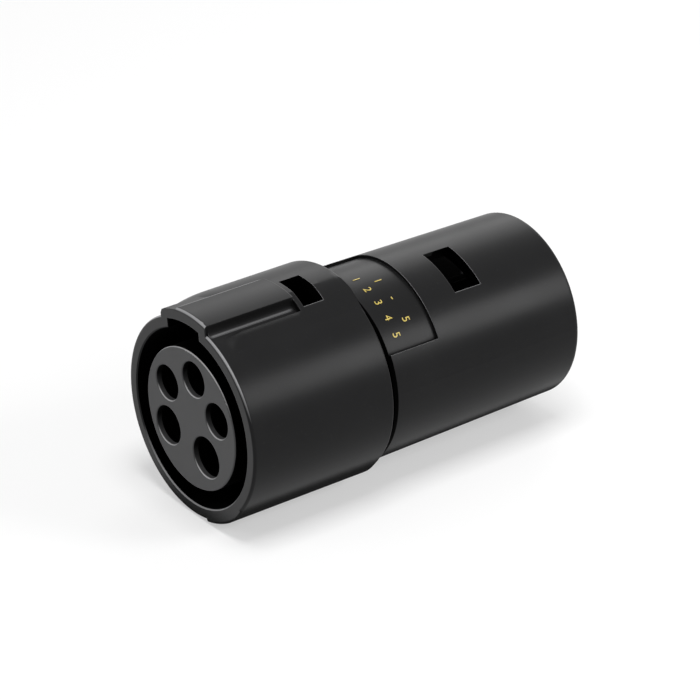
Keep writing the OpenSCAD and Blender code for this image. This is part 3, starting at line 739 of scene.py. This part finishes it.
def makeMarks():  # the counting numbers in the label field
    shape = bmesh.new()
    for text, height, size, spacing in markSet["rows"]:
        curve = bpy.data.curves.new("row", "FONT")
        curve.body = text
        curve.size = size
        curve.align_x = "CENTER"
        curve.align_y = "CENTER"
        curve.space_character = spacing
        curve.extrude = markSet["thickness"]
        holder = bpy.data.objects.new("row", curve)
        bpy.context.scene.collection.objects.link(holder)
        bpy.context.view_layer.update()
        flat = holder.evaluated_get(bpy.context.evaluated_depsgraph_get()).to_mesh()
        row = bmesh.new()
        row.from_mesh(flat)
        for corner in row.verts:  # wrap the row round the barrel: tops point at the rear rim
            along = height - corner.co.y
            radius = fieldRadius(along) + markSet["lift"] + corner.co.z
            bearing = math.radians(markSet["bearing"]) - corner.co.x / radius
            corner.co = Vector((
                radius * math.cos(bearing), radius * math.sin(bearing), along)) * mm
        kept = bpy.data.meshes.new("row")
        row.to_mesh(kept)
        shape.from_mesh(kept)
        row.free()
        bpy.data.meshes.remove(kept)
        bpy.data.objects.remove(holder)
    bmesh.ops.remove_doubles(shape, verts=shape.verts, dist=1e-7)
    bmesh.ops.recalc_face_normals(shape, faces=shape.faces)
    piece = makePiece("labelMarks", shape)
    piece.data.materials.append(finishes["tan_lacquer"])
    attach(piece, "root")


makeMarks()
print("label marks made")

stageSet = {
    "reach": 25.75,  # mm from the barrels' axis down to the floor
    "size": 6.0,  # m
    "tone": (0.9, 0.9, 0.9, 1), "paleTone": (0.92, 0.92, 0.92, 1),
    "glow": 0.45,  # share of the floor that shows plain white to the camera
    "ambient": 0.25,  # the world's light on the adapter
}


def showPale(tree):  # 1 for the rays that show the pale background: seen, mirrored or through glass
    path = addNode(tree, "ShaderNodeLightPath")
    seen = addNode(tree, "ShaderNodeMath", {"operation": "MAXIMUM"})
    seenToo = addNode(tree, "ShaderNodeMath", {"operation": "MAXIMUM"})
    join(tree, path, "Is Camera Ray", seen, 0)
    join(tree, path, "Is Glossy Ray", seen, 1)
    join(tree, seen, 0, seenToo, 0)
    join(tree, path, "Is Transmission Ray", seenToo, 1)
    return seenToo


def makeFloor():  # pale from above, and clear from below
    shape = bmesh.new()
    bmesh.ops.create_grid(shape, x_segments=1, y_segments=1, size=stageSet["size"] / 2)
    turn = floorUp.to_track_quat("Z", "Y").to_matrix()
    bmesh.ops.transform(shape, matrix=turn.to_4x4(), verts=shape.verts)
    bmesh.ops.translate(shape, verts=shape.verts, vec=midAxis - floorUp * stageSet["reach"] * mm)
    floor = makePiece("floor", shape)
    material, tree, shader = newMaterial("paleFloor")
    shader.inputs["Roughness"].default_value = 0.9
    shader.inputs["Specular IOR Level"].default_value = 0.0
    place = addNode(tree, "ShaderNodeTexCoord")
    drift = addNode(tree, "ShaderNodeTexNoise", values={"Scale": 3.0})
    tone = mixTone(tree, stageSet["tone"], stageSet["paleTone"])
    share = addNode(tree, "ShaderNodeMath", {"operation": "MULTIPLY"}, {1: stageSet["glow"]})
    glow = addNode(tree, "ShaderNodeEmission", values={"Strength": 1.0})
    lit = addNode(tree, "ShaderNodeMixShader")
    clear = addNode(tree, "ShaderNodeBsdfTransparent")
    side = addNode(tree, "ShaderNodeNewGeometry")
    whole = addNode(tree, "ShaderNodeMixShader")
    join(tree, place, "Object", drift, "Vector")
    join(tree, drift, "Fac", tone, mixFactor)
    join(tree, tone, mixOut, shader, "Base Color")
    join(tree, showPale(tree), 0, share, 0)
    join(tree, share, 0, lit, 0)
    join(tree, shader, 0, lit, 1)
    join(tree, glow, 0, lit, 2)
    join(tree, side, "Backfacing", whole, 0)
    join(tree, lit, 0, whole, 1)
    join(tree, clear, 0, whole, 2)
    join(tree, whole, 0, tree.nodes["Material Output"], "Surface")
    floor.data.materials.append(material)


def makeWorld():
    world = bpy.data.worlds.new("studio")
    bpy.context.scene.world = world
    world.use_nodes = True
    tree = world.node_tree
    back = tree.nodes["Background"]
    level = addNode(tree, "ShaderNodeMapRange", values={
        "To Min": stageSet["ambient"], "To Max": 1.0})
    back.inputs["Color"].default_value = (1, 1, 1, 1)
    join(tree, showPale(tree), 0, level, "Value")
    join(tree, level, "Result", back, "Strength")


# turn: degrees round the floor's upright from the camera's side, to the picture's right;
# lift: degrees above the floor
lampSet = {
    "overhead": {"turn": 5, "lift": 78, "distance": 0.9, "size": 0.4, "power": 5.6},
    "bandBox": {"turn": 78, "lift": 28, "distance": 0.9, "size": 0.34, "power": 3.8},
    "backEdge": {"turn": 172, "lift": 30, "distance": 0.9, "size": 0.5, "power": 1.8},
    "faceLeft": {"turn": -70, "lift": 34, "distance": 0.9, "size": 0.4, "power": 0.9},
}


def makeLamp(name, lamp):
    turn = math.radians(lamp["turn"])
    lift = math.radians(lamp["lift"])
    flat = flatToward * math.cos(turn) + flatRight * math.sin(turn)
    away = flat * math.cos(lift) + floorUp * math.sin(lift)
    data = bpy.data.lights.new(name, "AREA")
    data.shape = "SQUARE"
    data.size = lamp["size"]
    data.energy = lamp["power"]
    holder = bpy.data.objects.new(name, data)
    bpy.context.scene.collection.objects.link(holder)
    holder.location = midAxis + away * lamp["distance"]
    holder.rotation_mode = "QUATERNION"
    holder.rotation_quaternion = away.to_track_quat("Z", "Y")


makeFloor()
makeWorld()
for name, lamp in lampSet.items():
    makeLamp(name, lamp)
bpy.context.scene.view_settings.view_transform = "Standard"
print("stage and lamps placed")
